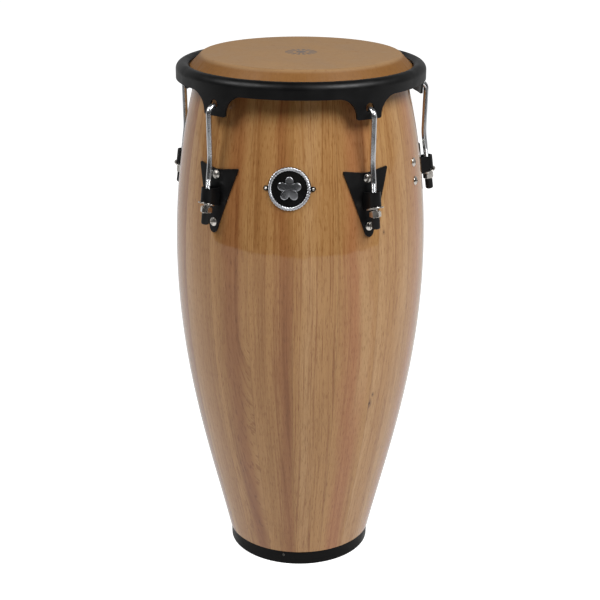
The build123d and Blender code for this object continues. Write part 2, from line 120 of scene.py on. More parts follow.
def revolved(profile, count, ripple=None):
    """The profile's (radius, height) carried round the axis: x = r sin a, y = -r cos a.

    A ripple is a function of the profile and the angles, and gives what to add to r and to z.
    """
    a = np.arange(count) * 2 * pi / count
    r = np.repeat(profile[:, :1], count, 1)
    z = np.repeat(profile[:, 1:], count, 1)
    if ripple is not None:
        dr, dz = ripple(profile, a)
        r, z = r + dr, z + dz
    return np.stack([r * np.sin(a), -r * np.cos(a), z], -1)


def turned(points, azimuth):
    """Points made at the front, turned round the axis to an azimuth."""
    c, s = cos(azimuth), sin(azimuth)
    x, y, z = np.moveaxis(points, -1, 0)
    return np.stack([c * x - s * y, s * x + c * y, z], -1)


# ---------------------------------------------------------------- shader nodes

class Tree:
    """A node tree with short words for its nodes. A value is a number, a colour or a node's socket."""

    def __init__(self, tree):
        self.tree = tree

    def put(self, kind, sockets=(), out=0, **settings):
        node = self.tree.nodes.new("ShaderNode" + kind)
        for key, value in settings.items():
            setattr(node, key, value)
        for key, value in dict(sockets).items():
            if isinstance(value, bpy.types.NodeSocket):
                self.tree.links.new(value, node.inputs[key])
            else:
                node.inputs[key].default_value = value
        return node.outputs[out]

    def math(self, operation, *values):
        return self.put("Math", enumerate(values), operation=operation)

    def length(self, vector):
        return self.put("VectorMath", {0: vector}, out="Value", operation="LENGTH")

    def place(self):
        """The place on the piece, in metres from the drum's foot."""
        return self.put("TexCoord", out="Object")

    def split(self, vector):
        return self.put("SeparateXYZ", {0: vector}).node.outputs

    def noise(self, vector, scale, detail=2.0, roughness=0.5, distortion=0.0):
        sockets = {"Vector": vector, "Scale": scale, "Detail": detail, "Roughness": roughness}
        return self.put("TexNoise", {**sockets, "Distortion": distortion})

    def span(self, value, low, high, to_low=0.0, to_high=1.0):
        """The value's place between low and high, eased, as a number from to_low to to_high."""
        sockets = {"Value": value, "From Min": low, "From Max": high, "To Min": to_low, "To Max": to_high}
        return self.put("MapRange", sockets, interpolation_type="SMOOTHSTEP")

    def mix(self, share, a, b, blend="MIX"):
        return self.put("Mix", {0: share, 6: a, 7: b}, out=2, data_type="RGBA", blend_type=blend)

    def ramp(self, value, stops):
        """A colour for each value: stops are (value, colour), in rising order."""
        low, high = stops[0][0], stops[-1][0]
        place = self.put("MapRange", {"Value": value, "From Min": low, "From Max": high})
        node = self.put("ValToRGB", {0: place}).node
        marks = node.color_ramp.elements
        while len(marks) < len(stops):
            marks.new(0.5)
        for mark, (at, colour) in zip(marks, stops):
            mark.position, mark.color = (at - low) / (high - low), (*colour, 1.0)
        return node.outputs[0]

    def darker(self, colour, share, by):
        """The colour times a grey or tint, as much as the share says."""
        return self.mix(share, colour, by, "MULTIPLY")

    def bump(self, height, distance, strength=1.0):
        return self.put("Bump", {"Height": height, "Distance": distance, "Strength": strength})

    def shared(self, name, **sockets):
        """One of the shared effects, placed here with its own values; gives its outputs by name."""
        node = self.tree.nodes.new("ShaderNodeGroup")
        node.node_tree = bpy.data.node_groups[name]
        for key, value in sockets.items():
            socket = node.inputs[key.replace("_", " ")]
            if isinstance(value, bpy.types.NodeSocket):
                self.tree.links.new(value, socket)
            else:
                socket.default_value = value
        return node.outputs


def shared_effect(name, inputs, build):
    """A node group: inputs are (name, kind of socket, value), and build(tree, inputs) gives its outputs."""
    group = bpy.data.node_groups.new(name, "ShaderNodeTree")
    for label, kind, value in inputs:
        socket = group.interface.new_socket(label, in_out="INPUT", socket_type="NodeSocket" + kind)
        if value is not None:
            socket.default_value = value
    tree = Tree(group)
    results = build(tree, group.nodes.new("NodeGroupInput").outputs)
    ending = group.nodes.new("NodeGroupOutput")
    for label, socket in results.items():
        group.interface.new_socket(label, in_out="OUTPUT", socket_type="NodeSocketFloat")
        group.links.new(socket, ending.inputs[label])


def finish_called(name, build, **plain):
    """A material: build(tree) gives what changes over the surface, and plain the shader's own values."""
    made = bpy.data.materials.new(name)
    made.use_nodes = True
    tree = Tree(made.node_tree)
    shader = made.node_tree.nodes["Principled BSDF"]
    for key, value in plain.items():
        shader.inputs[key.replace("_", " ")].default_value = value
    for key, socket in build(tree).items():
        made.node_tree.links.new(socket, shader.inputs[key])
    return made


def grain_of_a_board(tree, given):
    """Growth lines along a board, its fibres, its pores and its clouds of tone.

    Every one is noise whose place is (across, along / a stretch), so it is drawn out along the board. The
    place across wanders slowly up the board, so that they all bend together. Growth lines are the crests of
    long noise, fibres are finer, and pores are the peaks of short noise: dark dashes about 1 mm by 12 mm.
    """
    across, along, seed = given["Across"], given["Along"], given["Seed"]
    slow = tree.put("CombineXYZ", {0: across, 1: tree.math("MULTIPLY", along, 0.22), 2: seed})
    wander = tree.math("SUBTRACT", tree.noise(slow, 9.0, 1.5), 0.5)
    bent = tree.math("MULTIPLY_ADD", wander, given["Wander"], across)

    def drawn_out(scale, stretch, detail, roughness):
        place = tree.put("CombineXYZ", {0: bent, 1: tree.math("MULTIPLY", along, 1 / stretch), 2: seed})
        return tree.noise(place, scale, detail, roughness)

    lines = drawn_out(given["Lines per metre"], 80, 3.0, 0.62)
    bands = drawn_out(tree.math("MULTIPLY", given["Lines per metre"], 0.3), 60, 2.0, 0.5)
    fibres = drawn_out(620.0, 26, 3.0, 0.7)
    pores = drawn_out(1250.0, 13, 2.0, 0.5)
    cloud_place = tree.put("CombineXYZ", {0: across, 1: tree.math("MULTIPLY", along, 0.3), 2: seed})
    return {
        "Lines": tree.span(lines, 0.48, 0.66),
        "Bands": tree.span(bands, 0.3, 0.7),
        "Fibres": tree.span(fibres, 0.3, 0.7),
        "Pores": tree.span(pores, 0.53, 0.68),
        "Clouds": tree.noise(cloud_place, 26.0, 4.0, 0.6),
    }


shared_effect(
    "board_grain",
    [
        ("Across", "Float", None),
        ("Along", "Float", None),
        ("Seed", "Float", 0.0),
        ("Wander", "Float", 0.03),
        ("Lines per metre", "Float", 150.0),
    ],
    grain_of_a_board,
)


def marks_of_handling(tree, given):
    """Smudges the size of a finger mark, and fine specks, for the roughness and the bump of any finish."""
    smudge = tree.noise(given["Place"], 38.0, 3.0, 0.55, 0.4)
    specks = tree.noise(given["Place"], given["Speck scale"], 2.0, 0.6)
    return {"Smudge": tree.span(smudge, 0.3, 0.7), "Specks": specks}


shared_effect(
    "handling_marks", [("Place", "Vector", None), ("Speck scale", "Float", 900.0)], marks_of_handling
)


# ---------------------------------------------------------------- finishes

def finish_node(name, finish):
    """Gives a CAD node's material slots this finish."""
    for slot in NODES[name].material_slots:
        slot.material = finish


def grey(value):
    return (value, value, value, 1.0)


def varied_finish(name, dark, light, rough, specks, bump, **plain):
    """A paint, metal or rubber: two close tones by smudge and speck, and roughness and bump that follow them.

    Rough is the least and the most roughness, specks about how many lie in a metre, and bump their height.
    """

    def build(tree):
        marks = tree.shared("handling_marks", Place=tree.place(), Speck_scale=specks)
        share = tree.math("MULTIPLY_ADD", marks["Specks"], 0.5, tree.math("MULTIPLY", marks["Smudge"], 0.5))
        return {
            "Base Color": tree.mix(share, (*dark, 1.0), (*light, 1.0)),
            "Roughness": tree.span(marks["Smudge"], 0.0, 1.0, *rough),
            "Normal": tree.bump(marks["Specks"], bump),
        }

    return finish_called(name, build, **plain)


black_paint = varied_finish(
    "black_paint",
    dark=(0.0010, 0.0010, 0.0011),
    light=(0.0018, 0.0018, 0.0020),
    rough=(0.38, 0.48),
    specks=1500.0,
    bump=0.00002,
    Specular_IOR_Level=0.28,
)
rod_chrome = varied_finish(
    "rod_chrome",
    dark=(0.70, 0.71, 0.73),
    light=(0.82, 0.83, 0.85),
    rough=(0.20, 0.27),
    specks=2500.0,
    bump=0.000002,
    Metallic=1.0,
)
bright_nickel = varied_finish(
    "bright_nickel",
    dark=(0.60, 0.57, 0.52),
    light=(0.76, 0.72, 0.67),
    rough=(0.22, 0.34),
    specks=2200.0,
    bump=0.00001,
    Metallic=1.0,
)
zinc_plate = varied_finish(
    "zinc_plate",
    dark=(0.50, 0.51, 0.52),
    light=(0.64, 0.64, 0.63),
    rough=(0.30, 0.45),
    specks=1800.0,
    bump=0.00002,
    Metallic=1.0,
)
hoop_steel = varied_finish(
    "hoop_steel",
    dark=(0.40, 0.40, 0.40),
    light=(0.55, 0.54, 0.52),
    rough=(0.30, 0.50),
    specks=1600.0,
    bump=0.00002,
    Metallic=1.0,
)
dull_steel = varied_finish(
    "dull_steel",
    dark=(0.03, 0.03, 0.028),
    light=(0.08, 0.075, 0.065),
    rough=(0.40, 0.55),
    specks=1500.0,
    bump=0.00002,
    Metallic=0.8,
)
cap_rubber = varied_finish(
    "cap_rubber",
    dark=(0.004, 0.004, 0.004),
    light=(0.009, 0.009, 0.009),
    rough=(0.50, 0.65),
    specks=1300.0,
    bump=0.00005,
    Specular_IOR_Level=0.25,
)
foot_rubber = varied_finish(
    "foot_rubber",
    dark=(0.003, 0.003, 0.003),
    light=(0.006, 0.006, 0.0055),
    rough=(0.36, 0.50),
    specks=1100.0,
    bump=0.00005,
    IOR=1.18,
)
badge_enamel = varied_finish(
    "badge_enamel",
    dark=(0.004, 0.004, 0.004),
    light=(0.008, 0.008, 0.008),
    rough=(0.14, 0.22),
    specks=1800.0,
    bump=0.00001,
)
badge_nickel = varied_finish(
    "badge_nickel",
    dark=(0.52, 0.53, 0.56),
    light=(0.68, 0.69, 0.72),
    rough=(0.26, 0.38),
    specks=2400.0,
    bump=0.00001,
    Metallic=1.0,
)

# Tones of the wood, under its varnish
CREAM = (0.50, 0.295, 0.128)
STRAW = (0.45, 0.245, 0.090)
HONEY = (0.39, 0.200, 0.068)
ROSE = (0.42, 0.190, 0.074)
RUSSET = (0.34, 0.150, 0.050)
UMBER = (0.33, 0.165, 0.062)

# What each mark in the wood multiplies its tone by, where it is strongest
BAND_TINT = (0.90, 0.84, 0.78, 1.0)
CLOUD_TINT = (0.90, 0.87, 0.83, 1.0)
LINE_TINT = (0.66, 0.51, 0.40, 1.0)
FIBRE_TINT = (0.84, 0.78, 0.72, 1.0)
PORE_TINT = (0.62, 0.50, 0.40, 1.0)
KNOT_TINT = (0.13, 0.07, 0.045, 1.0)
GLUE_TINT = (0.35, 0.25, 0.18, 1.0)

TONES_REACH = 9.0  # degrees from a stave's middle to its first and last tone
TONE_WANDER = 9.0  # degrees that the line between two tones can wander over
TONE_FRAY = 2.0  # degrees that it frays by from fibre to fibre
KNOT_STRETCH = 0.55  # a knot is longer up the board than across it, by one over this
KNOT_PUSH = 0.75  # share of their distance by which growth lines are pushed away from a knot
GLUE_LINE = (0.0001, 0.0005)  # the joint is darkest up to the first of these, and ends at the second


def stave_wood(number, tones, lines=0.45, spacing=210.0, wander=0.02, streaks=(), knots=(), arch=None):
    """Varnished wood of one stave: tones from its left edge to its right, growth lines, pores, knots.

    The grain's place across the board is the angle from the stave's middle times the distance from the axis.
    Lines is how strong the growth lines are, and spacing about how many lie in a metre.
    A streak is (degrees from the middle, half width in degrees, lowest, highest, tone).
    A knot is (degrees, height, size).
    An arch is (degrees, height, spread): below that height the growth lines close in on that side as they go
    down, place = -sqrt(off^2 + spread * depth), off being the distance across from the arch's middle and depth
    the distance below its height.
    """
    middle = FIRST_JOINT + STAVE_ARC * (number - 0.5)
    seed = number * 1.37

    def build(tree):
        facing = tree.put("Mapping", {"Vector": tree.place(), "Rotation": (0.0, 0.0, -middle)})
        x, y, z = tree.split(facing)
        turn = tree.math("ARCTAN2", x, tree.math("MULTIPLY", y, -1.0))
        far = tree.length(tree.put("CombineXYZ", {0: x, 1: y}))
        across = tree.math("MULTIPLY", turn, far)
        around = tree.math("DEGREES", turn)
        lie = across
        if arch:
            degrees_off, height, spread = arch
            off = tree.math("MULTIPLY_ADD", far, -radians(degrees_off), across)
            depth = tree.math("MAXIMUM", tree.math("SUBTRACT", height, z), 0.0)
            squares = tree.math("MULTIPLY_ADD", depth, spread, tree.math("MULTIPLY", off, off))
            lie = tree.math("MULTIPLY", tree.math("SQRT", squares), -1.0)
        # growth lines part round each knot
        knot_tone = None
        for degrees_off, height, size in knots:
            off = tree.math("MULTIPLY_ADD", far, -radians(degrees_off), across)
            rise = tree.math("MULTIPLY", tree.math("SUBTRACT", z, height), KNOT_STRETCH)
            gap = tree.length(tree.put("CombineXYZ", {0: off, 1: rise}))
            near = tree.span(gap, size, size * 5, 1.0, 0.0)
            lie = tree.math("MULTIPLY_ADD", tree.math("MULTIPLY", near, off), -KNOT_PUSH, lie)
            eye = tree.span(gap, size * 0.5, size * 1.1, 1.0, 0.0)
            halo = tree.span(gap, size, size * 3.5, 0.45, 0.0)
            dot = tree.math("MAXIMUM", eye, halo)
            knot_tone = dot if knot_tone is None else tree.math("MAXIMUM", knot_tone, dot)
        grain = tree.shared(
            "board_grain", Across=lie, Along=z, Seed=seed, Wander=wander, Lines_per_metre=spacing
        )
        # where the tones meet wanders up and down the board
        drift_place = tree.put("CombineXYZ", {0: tree.math("MULTIPLY", lie, 3.0), 1: z, 2: seed})
        drift = tree.noise(drift_place, 7.0, 2.0)
        lean = tree.math("MULTIPLY_ADD", tree.math("SUBTRACT", drift, 0.5), TONE_WANDER, around)
        lean = tree.math("MULTIPLY_ADD", tree.math("SUBTRACT", grain["Fibres"], 0.5), TONE_FRAY, lean)
        places = np.linspace(-TONES_REACH, TONES_REACH, len(tones))
        colour = tree.ramp(lean, list(zip(places, tones)))
        for at, half, lowest, highest, tone in streaks:
            off = tree.math("ABSOLUTE", tree.math("SUBTRACT", lean, at))
            strip = tree.span(off, half * 0.4, half * 1.4, 1.0, 0.0)
            strip = tree.math("MULTIPLY", strip, tree.span(z, lowest - 0.06, lowest + 0.08))
            strip = tree.math("MULTIPLY", strip, tree.span(z, highest - 0.08, highest + 0.06, 1.0, 0.0))
            colour = tree.mix(strip, colour, (*tone, 1.0))
        colour = tree.darker(colour, tree.math("MULTIPLY", grain["Bands"], 0.5), BAND_TINT)
        colour = tree.darker(colour, tree.span(grain["Clouds"], 0.3, 0.75, 0.0, 0.6), CLOUD_TINT)
        colour = tree.darker(colour, tree.math("MULTIPLY", grain["Lines"], lines), LINE_TINT)
        colour = tree.darker(colour, tree.math("MULTIPLY", grain["Fibres"], 0.8), FIBRE_TINT)
        colour = tree.darker(colour, tree.math("MULTIPLY", grain["Pores"], 0.75), PORE_TINT)
        if knot_tone is not None:
            colour = tree.darker(colour, knot_tone, KNOT_TINT)
        # the glue joint, a hair wide, at both edges
        joint = tree.math("SUBTRACT", STAVE_ARC / 2, tree.math("ABSOLUTE", turn))
        joint = tree.span(tree.math("MULTIPLY", joint, far), *GLUE_LINE, 0.35, 0.0)
        colour = tree.darker(colour, joint, GLUE_TINT)
        # varnish on the outside only
        facing_and_place = {0: tree.put("NewGeometry", out="Normal"), 1: tree.place()}
        outwards = tree.put("VectorMath", facing_and_place, out="Value", operation="DOT_PRODUCT")
        height = tree.math("SUBTRACT", grain["Fibres"], grain["Pores"])
        return {
            "Base Color": colour,
            "Roughness": tree.span(grain["Clouds"], 0.2, 0.8, 0.42, 0.55),
            "Coat Weight": tree.span(outwards, 0.02, 0.06),
            "Normal": tree.bump(height, 0.00003, 0.5),
        }

    return finish_called(
        f"stave_wood_{number:02d}", build, Coat_Roughness=0.045, Coat_IOR=1.45, Specular_IOR_Level=0.15
    )


STAVE_WOODS = {
    1: dict(tones=(STRAW, CREAM, STRAW, STRAW), lines=0.85, spacing=300.0, wander=0.03),
    2: dict(tones=(STRAW, ROSE, ROSE, STRAW), streaks=((3.4, 3.6, 0.26, 0.50, CREAM),)),
    3: dict(
        tones=(CREAM, STRAW, CREAM),
        knots=((-9.6, 0.261, 0.0017), (-8.0, 0.274, 0.0009), (-7.2, 0.503, 0.0008)),
    ),
    4: dict(tones=(STRAW, ROSE, STRAW), lines=0.3),
    5: dict(tones=(STRAW, HONEY, UMBER), lines=0.35),
    6: dict(tones=(RUSSET, ROSE, ROSE, STRAW), lines=0.5),
    7: dict(tones=(CREAM, STRAW, CREAM), lines=0.5, wander=0.04),
    8: dict(tones=(STRAW, STRAW, ROSE), lines=0.35),
    9: dict(tones=(ROSE, HONEY, UMBER), lines=0.45),
    10: dict(tones=(HONEY, STRAW, CREAM), lines=0.4, spacing=190.0),
    11: dict(tones=(CREAM, STRAW), lines=0.35, knots=((3.0, 0.36, 0.0018),)),
    12: dict(tones=(RUSSET, UMBER, HONEY), lines=0.5),
    13: dict(tones=(STRAW, HONEY, STRAW), lines=0.6, wander=0.05, spacing=130.0),
    14: dict(tones=(CREAM, STRAW, ROSE), lines=0.3, arch=(11.0, 0.40, 0.006)),
    15: dict(tones=(ROSE, HONEY, RUSSET), lines=0.3),
    16: dict(tones=(CREAM, STRAW, HONEY, HONEY), lines=0.4),
    17: dict(
        tones=(STRAW, HONEY, RUSSET, RUSSET, STRAW),
        lines=0.6,
        wander=0.04,
        spacing=160.0,
        arch=(11.0, 0.36, 0.008),
    ),
    18: dict(
        tones=(STRAW, HONEY, STRAW, RUSSET, HONEY),
        lines=0.6,
        streaks=((7.0, 2.0, 0.0, 0.5, RUSSET),),
    ),
}
for number, wood in STAVE_WOODS.items():
    finish_node(f"stave_{number:02d}", stave_wood(number, **wood))


TOP_TONE_HEIGHTS = (0.7060, 0.7106)  # heights between which the collar's tone gives way to the flat top's
FLAT_TONES = ((0.262, 0.148, 0.062, 1.0), (0.352, 0.206, 0.093, 1.0))
COLLAR_TONES = ((0.18, 0.071, 0.012, 1.0), (0.26, 0.117, 0.024, 1.0))
WEAR_TINT = (0.88, 0.83, 0.78, 1.0)
FLECK_TINT = (0.66, 0.52, 0.40, 1.0)
PRINT_INK = (0.075, 0.085, 0.10, 1.0)
# Distances from the middle between which the printed ring starts, the ring ends and the dot ends
RING_STARTS, RING_ENDS, DOT_ENDS = (0.0105, 0.0110), (0.0210, 0.0216), (0.0066, 0.0071)
RING_STROKES = 16
PRINT_ABOVE = (0.7085, 0.7095)  # heights between which the ink fades in, so the inside has less of it


def hide_finish():
    """Cow hide: a greyer tan on the flat top, darker and more orange down the collar, with clouds, flecks and
    fibres.

    A small printed mark at the middle, of no meaning, is a ring of short strokes round a dot.
    """

    def build(tree):
        place = tree.place()
        x, y, z = tree.split(place)
        clouds = tree.noise(place, 22.0, 4.0, 0.6, 0.6)
        fine = tree.noise(place, 240.0, 3.0, 0.65)
        flecks = tree.span(tree.noise(place, 130.0, 2.0, 0.5), 0.66, 0.74)
        turn = tree.math("ARCTAN2", x, y)
        round_it, up_it = tree.math("MULTIPLY", turn, 14.0), tree.math("MULTIPLY", z, 30.0)
        fibres = tree.noise(tree.put("CombineXYZ", {0: round_it, 1: up_it}), 6.0, 3.0, 0.6)
        flat_tone = tree.mix(clouds, *FLAT_TONES)
        collar_tone = tree.mix(fibres, *COLLAR_TONES)
        colour = tree.mix(tree.span(z, *TOP_TONE_HEIGHTS), collar_tone, flat_tone)
        colour = tree.darker(colour, tree.span(fine, 0.4, 0.7, 0.0, 0.5), WEAR_TINT)
        colour = tree.darker(colour, tree.math("MULTIPLY", flecks, 0.35), FLECK_TINT)
        # the printed mark
        far = tree.length(tree.put("CombineXYZ", {0: x, 1: y}))
        ring = tree.math("MULTIPLY", tree.span(far, *RING_STARTS), tree.span(far, *RING_ENDS, 1.0, 0.0))
        strokes = tree.math("SINE", tree.math("MULTIPLY", turn, float(RING_STROKES)))
        printed = tree.math("MULTIPLY", ring, tree.span(strokes, -0.5, 0.1))
        printed = tree.math("MAXIMUM", printed, tree.span(far, *DOT_ENDS, 1.0, 0.0))
        printed = tree.math("MULTIPLY", printed, tree.span(fine, 0.25, 0.6, 0.5, 0.85))
        printed = tree.math("MULTIPLY", printed, tree.span(z, *PRINT_ABOVE))
        colour = tree.mix(printed, colour, PRINT_INK)
        return {
            "Base Color": colour,
            "Roughness": tree.span(clouds, 0.2, 0.8, 0.42, 0.58),
            "Normal": tree.bump(tree.math("ADD", fine, tree.math("MULTIPLY", clouds, 0.5)), 0.00012, 0.7),
        }

    return finish_called("hide", build, Specular_IOR_Level=0.35)


hide = hide_finish()


# ---------------------------------------------------------------- head

BEARING = (0.12857, 0.70500)  # middle of the bearing edge's rounding
BEARING_TURN = 0.0040  # that rounding's radius
HIDE = 0.0020  # thickness
HOOP = (0.15570, 0.69110)  # middle of the flesh hoop
WRAP = 0.00415  # radius of the inside of the hide's wrap round the hoop
COLLAR_FALL = 46.6  # degrees below level
TUCK = 150.0  # angle round the hoop at which the wrap ends
PLEATS = ((61, 1.0, 0.0), (97, 0.7, 1.1), (23, 0.5, 0.4))  # count round the head, share, phase
PLEAT_LIFT = 0.00016 * 0.7  # in the radius and in the height, as the collar slopes at about 45 degrees
PLEATS_START, PLEATS_END = 0.134, 0.153  # distances from the axis
PLEATS_GROW, PLEATS_FADE = 0.012, 0.004  # the lengths over which they come and go


def head_profile():
    """The hide's closed outline: flat top, bearing edge, collar, once round the hoop, and back inside."""
    flat = np.linspace(0.0, BEARING[0], 40)
    wrap_start = 270 - COLLAR_FALL
    outer = BEARING_TURN + HIDE
    top = np.stack([flat, np.full_like(flat, BEARING[1] + outer)], 1)
    over = arc(BEARING, outer, 90, 90 - COLLAR_FALL, 10)
    inner_wrap = arc(HOOP, WRAP, wrap_start, 360 + TUCK, 26)
    outer_wrap = arc(HOOP, WRAP + HIDE, 360 + TUCK, wrap_start, 30)
    under = arc(BEARING, BEARING_TURN, 90 - COLLAR_FALL, 90, 8)
    below = np.stack([flat[::-1], np.full_like(flat, BEARING[1] + BEARING_TURN)], 1)

    def slope(a, b, count):
        return a + (b - a) * np.linspace(0, 1, count)[1:-1, None]

    runs = [top[:-1], over, slope(over[-1], inner_wrap[0], 14), inner_wrap, outer_wrap]
    runs += [slope(outer_wrap[-1], under[0], 14), under, below[1:]]
    return np.concatenate(runs)


def head_ripple(profile, a):
    """Soft pleats where the collar nears the hoop: a sum of sines round it, growing down the collar."""
    r = profile[:, :1]
    grown = np.clip((r - PLEATS_START) / PLEATS_GROW, 0, 1)
    faded = np.clip((PLEATS_END - r) / PLEATS_FADE, 0, 1)
    wave = sum(share * np.sin(count * a + phase) for count, share, phase in PLEATS)
    lift = PLEAT_LIFT * grown * faded * wave
    return lift, lift


HEAD_COLUMNS = 384
head_points = revolved(head_profile(), HEAD_COLUMNS, head_ripple)
drum_head = piece_from_grid("drum_head", head_points, hide, round_columns=True)
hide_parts("drumhead_skin")
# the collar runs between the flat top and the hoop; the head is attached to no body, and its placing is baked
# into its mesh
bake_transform(drum_head)


# ---------------------------------------------------------------- tuning rods

ROD_R = 0.00357
ROD_SIDES = 24
ROD_LEAN = radians(8)
LUG_Z = 0.552  # height of the lugs' middle
ROD_STANDOFF = 0.0158  # from the shell to the rod's middle at that height
HOOK_Z = 0.66445
HOOK_IN, HOOK_OUT = 0.15115, 0.17445  # distance of the hook's tip and of its corner from the axis
# Measured up or down the rod from the lug's middle: its upper bend, the thread's start, and its lower end
BEND_UP, THREAD_UP, ROD_END = 0.044, 0.022, 0.0335
HOOK_BEND, UPPER_BEND = 0.009, 0.100  # radii
PATH_STEP = 0.0007
END_ROUNDING = 0.0007
PITCH = 0.00127
THREAD_DEPTH = 0.00052
THREAD_GROWS = 0.003  # length over which the thread reaches its depth
STEPS_A_TURN = 8


def rounded_path(corners, radii, step):
    """Points along straight runs joined by arcs that touch them, about a step apart."""
    path = [np.array(corners[0], float)[None]]
    corners = [np.array(c, float) for c in corners]
    for i, radius in enumerate(radii, 1):
        back, ahead = corners[i - 1] - corners[i], corners[i + 1] - corners[i]
        back, ahead = back / np.linalg.norm(back), ahead / np.linalg.norm(ahead)
        half = np.arccos(np.clip(back @ ahead, -1, 1)) / 2
        cut = radius / np.tan(half)
        centre = corners[i] + (back + ahead) / np.linalg.norm(back + ahead) * radius / np.sin(half)
        start, end = corners[i] + back * cut - centre, corners[i] + ahead * cut - centre
        turn = pi - 2 * half
        share = np.linspace(0, 1, max(4, int(turn * radius / step)))[:, None]
        bent = start * np.sin((1 - share) * turn) + end * np.sin(share * turn)
        path.append(centre + bent / np.sin(turn))
    path.append(corners[-1][None])
    return np.concatenate(path)


def rod_at(down):
    """Distance from the axis, and height, of the leaning run's middle this far down from the lug's middle."""
    out = float(shell_radius(LUG_Z)) + ROD_STANDOFF
    return (out + down * sin(ROD_LEAN), LUG_Z - down * cos(ROD_LEAN))


def threaded_rod():
    """A tuning rod at the front: a circle carried along its path, with a helical thread cut at its lower end.

    Radius at (s, a) = rod radius - depth * dip, s being the length along the path and a the angle round it.
    Dip is a triangle wave of s / pitch - a / a whole turn: 0 at the thread's crest and 1 at its root.
    The two end rows lie on the rod's middle, one in each end's plane.
    """
    corners = [(HOOK_IN, HOOK_Z), (HOOK_OUT, HOOK_Z), rod_at(-BEND_UP), rod_at(ROD_END)]
    path = rounded_path(corners, (HOOK_BEND, UPPER_BEND), PATH_STEP)
    length = np.concatenate([[0], np.cumsum(np.linalg.norm(np.diff(path, axis=0), axis=1))])
    thread_length = ROD_END + THREAD_UP
    thread_from = length[-1] - thread_length
    before = 0.004  # plain rod that gets the thread's closer rows too
    threaded_rows = int((thread_length + before) / PITCH * STEPS_A_TURN)
    threaded = np.linspace(thread_from - before, length[-1] - 0.0006, threaded_rows)
    plain = length[1:-1][length[1:-1] < thread_from]
    tip_rows = [0.0, 0.0002, END_ROUNDING]
    s = np.unique(np.concatenate([tip_rows, plain, threaded, [length[-1]]]))
    middle = np.stack([np.interp(s, length, path[:, k]) for k in (0, 1)], 1)
    along = np.gradient(middle, s, axis=0)
    along /= np.linalg.norm(along, axis=1)[:, None]
    side = np.stack([-along[:, 1], along[:, 0]], 1)
    a = np.arange(ROD_SIDES) * 2 * pi / ROD_SIDES
    phase = (s[:, None] / PITCH - a / (2 * pi)) % 1
    dip = 1 - np.abs(2 * phase - 1)
    grown = np.clip((s - thread_from) / THREAD_GROWS, 0, 1)[:, None]
    radius = ROD_R - THREAD_DEPTH * dip * grown
    tip = np.clip(np.minimum(s, s[-1] - s) / END_ROUNDING, 0, 1)[:, None]
    radius = np.minimum(radius, ROD_R - END_ROUNDING + END_ROUNDING * tip)
    radius[0] = radius[-1] = 0.0
    out = middle[:, :1] + side[:, :1] * radius * np.cos(a)
    up = middle[:, 1:] + side[:, 1:] * radius * np.cos(a)
    return np.stack([radius * np.sin(a), -out, up], -1)


rod_points = threaded_rod()
for n, azimuth in LUGS.items():
    rod = piece_from_grid(f"tuning_rod_{n}", turned(rod_points, azimuth), rod_chrome, round_columns=True)
    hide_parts(f"tuning_hook_{n}")
    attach(rod, f"hook_{n}")


# ---------------------------------------------------------------- badge

BADGE_Z = 0.568
BADGE_R = 0.0270
PLATE = 0.0012  # thickness
EAR_OUT, EAR_R = 0.0296, 0.0032  # an ear's middle, from the badge's, and its radius
EAR_REACH = 0.13  # angle either side of level within which the outline has closer points
ROPE_R, ROPE_LOBE = 0.00185, 0.00042  # its radius, and how much its two lobes add and take away
ROPE_TURNS = 21
ROPE_INSET = 0.0023
ROPE_FLATTENED = 0.55
PETALS = 5
PETAL_ROOT, PETAL_LENGTH = 0.0075, 0.0078


def on_badge(across, up, proud):
    """Points of the badge, bent with the shell: y = -sqrt(far^2 - across^2), far from the shell's radius."""
    z = BADGE_Z + up
    far = shell_radius(z) + proud
    return np.stack([across, -np.sqrt(far**2 - across**2), z], -1)


def badge_outline(a):
    """The plate's edge at angle a: a circle that opens into a rounded ear at each side."""
    c, s = np.abs(np.cos(a)), np.sin(a)
    ear = EAR_OUT * c + np.sqrt(np.maximum(EAR_R**2 - (EAR_OUT * s) ** 2, 0))
    return np.where(EAR_R > np.abs(EAR_OUT * s), np.maximum(BADGE_R, ear), BADGE_R)


def pressed_plate():
    """The plate as a closed sheet: rings from the middle of its face to its edge, and back under it."""
    share = np.concatenate([np.linspace(0, 1, 30), np.linspace(1, 0, 30)])
    proud = np.concatenate([np.full(29, PLATE), [PLATE * 0.7], np.zeros(30)])
    near_ear = np.linspace(-EAR_REACH + 0.005, EAR_REACH - 0.005, 33)
    a = np.concatenate([near_ear, np.linspace(EAR_REACH, pi - EAR_REACH, 90)])
    a = np.concatenate([a, a + pi])
    rho = share[:, None] * badge_outline(a)
    return on_badge(rho * np.cos(a), rho * np.sin(a), np.repeat(proud[:, None], len(a), 1))


def rope_border():
    """A rope round the badge: a ring whose section has two lobes that twist on the way round.

    The section's radius at (a, t) = radius + lobe * cos(2 (t - turns * a)), a being the angle round the badge
    and t the angle round the section.
    """
    a = np.arange(504)[:, None] * 2 * pi / 504
    t = np.arange(20) * 2 * pi / 20
    radius = ROPE_R + ROPE_LOBE * np.cos(2 * (t - ROPE_TURNS * a))
    rho = BADGE_R - ROPE_INSET + radius * np.cos(t)
    proud = PLATE + 0.0001 + ROPE_FLATTENED * radius * np.sin(t)
    return on_badge(rho * np.cos(a), rho * np.sin(a), proud)


